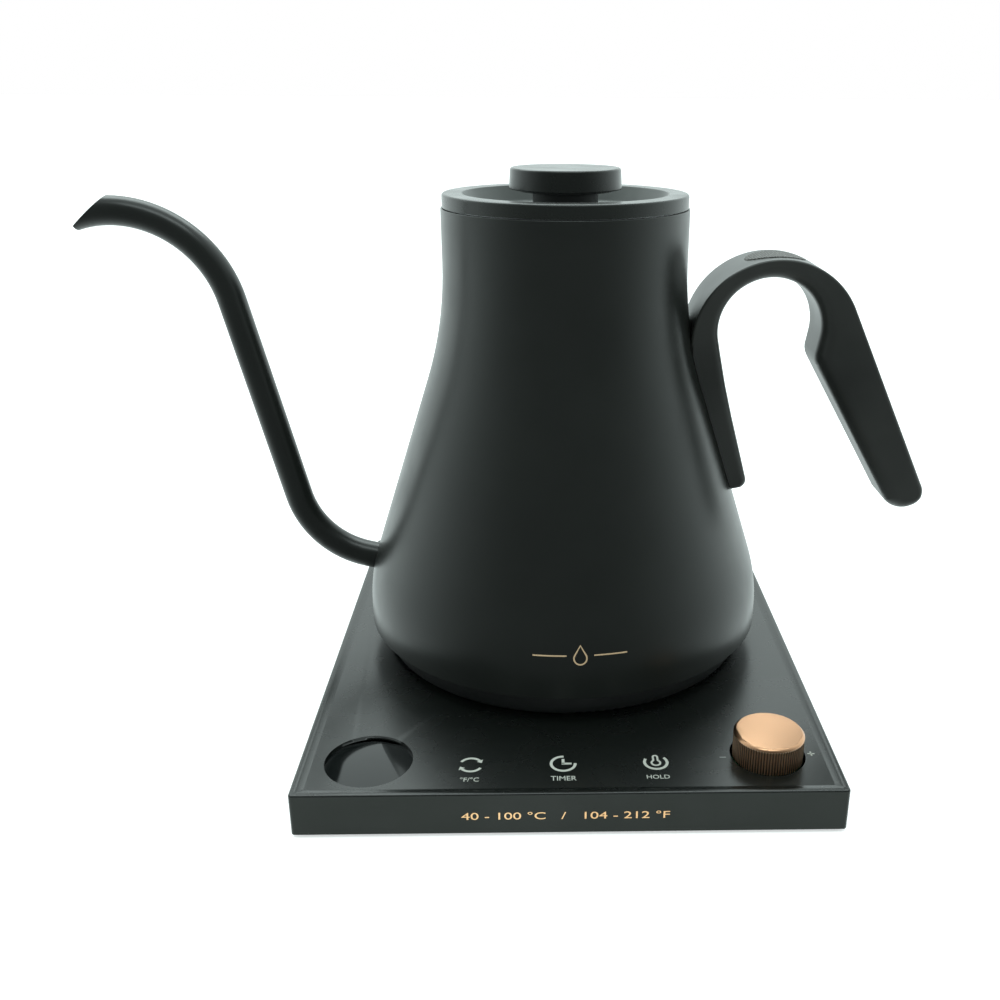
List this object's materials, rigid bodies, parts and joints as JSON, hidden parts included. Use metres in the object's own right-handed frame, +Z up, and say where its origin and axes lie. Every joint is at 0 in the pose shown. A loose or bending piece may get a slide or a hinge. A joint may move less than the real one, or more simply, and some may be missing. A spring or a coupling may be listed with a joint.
{
  "type": "electric kettle",
  "caption": "Cordless electric gooseneck kettle with an open handle and lift-off lid, on a flat heating base with a round display and a turning, pressing dial.",
  "frame": {"origin": "bottom centre of the bounding box, on the plane the rubber feet stand on", "axes": "+X from the spout towards the handle, -Y towards the front with the controls, +Z up"},
  "size_m": [0.2938, 0.195, 0.1844],
  "materials": {
    "body_paint": "satin black paint",
    "base_paint": "satin black paint",
    "lid_paint": "satin black paint",
    "handle_plastic": "fine satin",
    "pad_plastic": "dimpled",
    "black_plastic": "fine matte",
    "cream_plastic": "smooth",
    "dial_copper": "copper coloured, spun top and knurled side",
    "display_black": "polished",
    "board_green": "lacquered",
    "dark_rubber": "matte",
    "silicone": "matte",
    "steel": "brushed",
    "aluminium": "cast",
    "brass": "plain"
  },
  "bodies": {
    "base": {"base_top_cover": "base_paint", "base_bottom_cover": "black_plastic", "rubber_feet": "dark_rubber", "base_screws": "steel", "display_lens": "display_black", "display_module": "black_plastic", "control_board": "board_green", "touch_springs": "brass", "encoder_body": "black_plastic", "power_board": "board_green", "power_triac": "black_plastic", "filter_capacitor": "cream_plastic", "terminal_block": "cream_plastic", "cord_gland": "dark_rubber", "base_connector": "black_plastic", "base_contacts": "brass"},
    "encoder_rotor": {"encoder_rotor": "cream_plastic"},
    "dial": {"encoder_shaft": "steel", "dial_knob": "dial_copper"},
    "kettle_socket": {"kettle_socket": "black_plastic", "socket_pin": "brass", "socket_ring": "brass"},
    "kettle": {"body_shell": "body_paint", "neck_shell": "body_paint", "spout_tube": "body_paint", "floor_plate": "steel", "heat_spreader": "aluminium", "heating_element": "steel", "thermal_cutoff": "cream_plastic", "temperature_probe": "steel", "underbody": "black_plastic", "underbody_screws": "steel", "handle_bracket": "steel", "handle_screws": "steel", "handle_grip": "handle_plastic", "handle_cover": "handle_plastic", "thumb_pad": "pad_plastic"},
    "lid": {"lid_cover": "lid_paint", "lid_inner_cup": "steel", "lid_gasket": "silicone", "lid_stem": "black_plastic", "lid_knob": "lid_paint", "lid_screw": "steel"}
  },
  "joints": [
    {"name": "kettle_lift", "type": "slide", "parent": "base", "child": "kettle_socket", "axis": [0, 0, 1], "range_m": [0, 0.1]},
    {"name": "kettle_swivel", "type": "hinge", "parent": "kettle_socket", "child": "kettle", "pos_m": [0.01849, 0.01115, 0.02], "axis": [0, 0, 1], "continuous": true},
    {"name": "lid_lift", "type": "slide", "parent": "kettle", "child": "lid", "axis": [0, 0, 1], "range_m": [0, 0.06]},
    {"name": "dial_turn", "type": "hinge", "parent": "base", "child": "encoder_rotor", "pos_m": [0.08069, -0.07705, 0.009], "axis": [0, 0, 1], "continuous": true},
    {"name": "dial_press", "type": "slide", "parent": "encoder_rotor", "child": "dial", "axis": [0, 0, -1], "range_m": [0, 0.0008], "stiffness_N_per_m": 1500}
  ]
}
